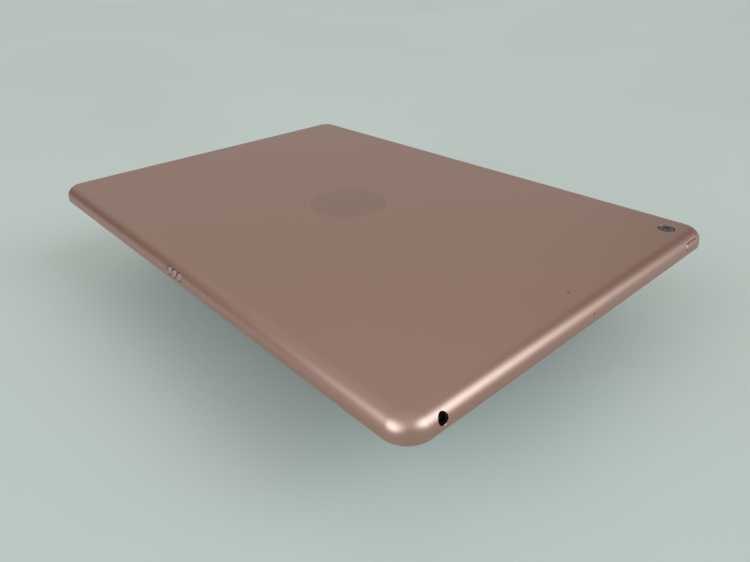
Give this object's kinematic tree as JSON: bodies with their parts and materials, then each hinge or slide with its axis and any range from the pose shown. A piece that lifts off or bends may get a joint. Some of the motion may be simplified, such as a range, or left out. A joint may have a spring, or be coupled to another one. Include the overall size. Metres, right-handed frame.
{
  "type": "tablet computer",
  "caption": "Slim tablet computer with a rounded metal rear case, glass front with a round home button, side buttons, rear camera, headphone socket and charging port.",
  "frame": {"origin": "middle of the cover glass's outer face, which is the lowest face of the tablet as it lies on its screen", "axes": "+Z out of the flat rear face, +Y to the end with the cameras and the headphone socket, +X to the long side with the accessory contacts"},
  "size_m": [0.1742, 0.2508, 0.0075],
  "materials": {
    "anodised_case": "gold anodised, fine bead-blasted satin",
    "polished_trim": "gold anodised, polished",
    "white_glass": "gloss, white printed behind",
    "lens_glass": "gloss, dark, coated",
    "pale_seal": "satin",
    "display_film": "satin",
    "sheet_steel": "satin",
    "white_plastic": "satin",
    "black_plastic": "matt",
    "contact_metal": "satin, pale silvery",
    "flex_circuit": "satin",
    "circuit_board": "matt",
    "battery_foil": "satin",
    "adhesive_film": "matt",
    "dark_mesh": "matt",
    "magnet_nickel": "satin nickel plate"
  },
  "bodies": {
    "body": {"rear_case": "anodised_case", "rear_inlay": "polished_trim", "rear_camera_ring": "polished_trim", "cover_glass": "white_glass", "glass_seal": "pale_seal", "display_panel": "display_film", "display_tray": "sheet_steel", "display_screw_1": "sheet_steel", "display_screw_2": "sheet_steel", "display_screw_3": "sheet_steel", "display_screw_4": "sheet_steel", "board_screw_1": "sheet_steel", "board_screw_2": "sheet_steel", "home_bracket": "sheet_steel", "charging_port": "sheet_steel", "radio_shield": "sheet_steel", "processor_shield": "sheet_steel", "power_shield": "sheet_steel", "antenna_right": "white_plastic", "antenna_left": "white_plastic", "power_switch": "black_plastic", "volume_up_switch": "black_plastic", "volume_down_switch": "black_plastic", "headphone_socket": "black_plastic", "speaker_right": "black_plastic", "speaker_left": "black_plastic", "rear_camera_module": "black_plastic", "front_camera": "black_plastic", "light_sensor": "black_plastic", "contact_insulator": "black_plastic", "antenna_coax": "black_plastic", "home_switch": "contact_metal", "edge_microphone": "contact_metal", "rear_microphone": "contact_metal", "accessory_contact_1": "contact_metal", "accessory_contact_2": "contact_metal", "accessory_contact_3": "contact_metal", "rear_camera_lens": "lens_glass", "button_flex": "flex_circuit", "headphone_flex": "flex_circuit", "charging_flex": "flex_circuit", "display_flex": "flex_circuit", "touch_flex": "flex_circuit", "contact_flex": "flex_circuit", "logic_board": "circuit_board", "battery_circuit": "circuit_board", "battery_cell_left": "battery_foil", "battery_cell_right": "battery_foil", "battery_adhesive_left": "adhesive_film", "battery_adhesive_right": "adhesive_film", "speaker_mesh_right": "dark_mesh", "speaker_mesh_left": "dark_mesh", "cover_magnet_upper": "magnet_nickel", "cover_magnet_lower": "magnet_nickel"},
    "home_button": {"home_button_ring": "polished_trim", "home_button_cap": "white_plastic", "home_button_carrier": "black_plastic"},
    "power_button": {"power_button": "anodised_case"},
    "volume_up_button": {"volume_up_button": "anodised_case"},
    "volume_down_button": {"volume_down_button": "anodised_case"}
  },
  "joints": [
    {"name": "home_button_press", "type": "slide", "parent": "body", "child": "home_button", "axis": [0, 0, 1], "range_m": [0, 0.0003], "stiffness_N_per_m": 200},
    {"name": "power_button_press", "type": "slide", "parent": "body", "child": "power_button", "axis": [0, -1, 0], "range_m": [0, 0.0003], "stiffness_N_per_m": 200},
    {"name": "volume_up_press", "type": "slide", "parent": "body", "child": "volume_up_button", "axis": [1, 0, 0], "range_m": [0, 0.0003], "stiffness_N_per_m": 200},
    {"name": "volume_down_press", "type": "slide", "parent": "body", "child": "volume_down_button", "axis": [1, 0, 0], "range_m": [0, 0.0003], "stiffness_N_per_m": 200}
  ]
}
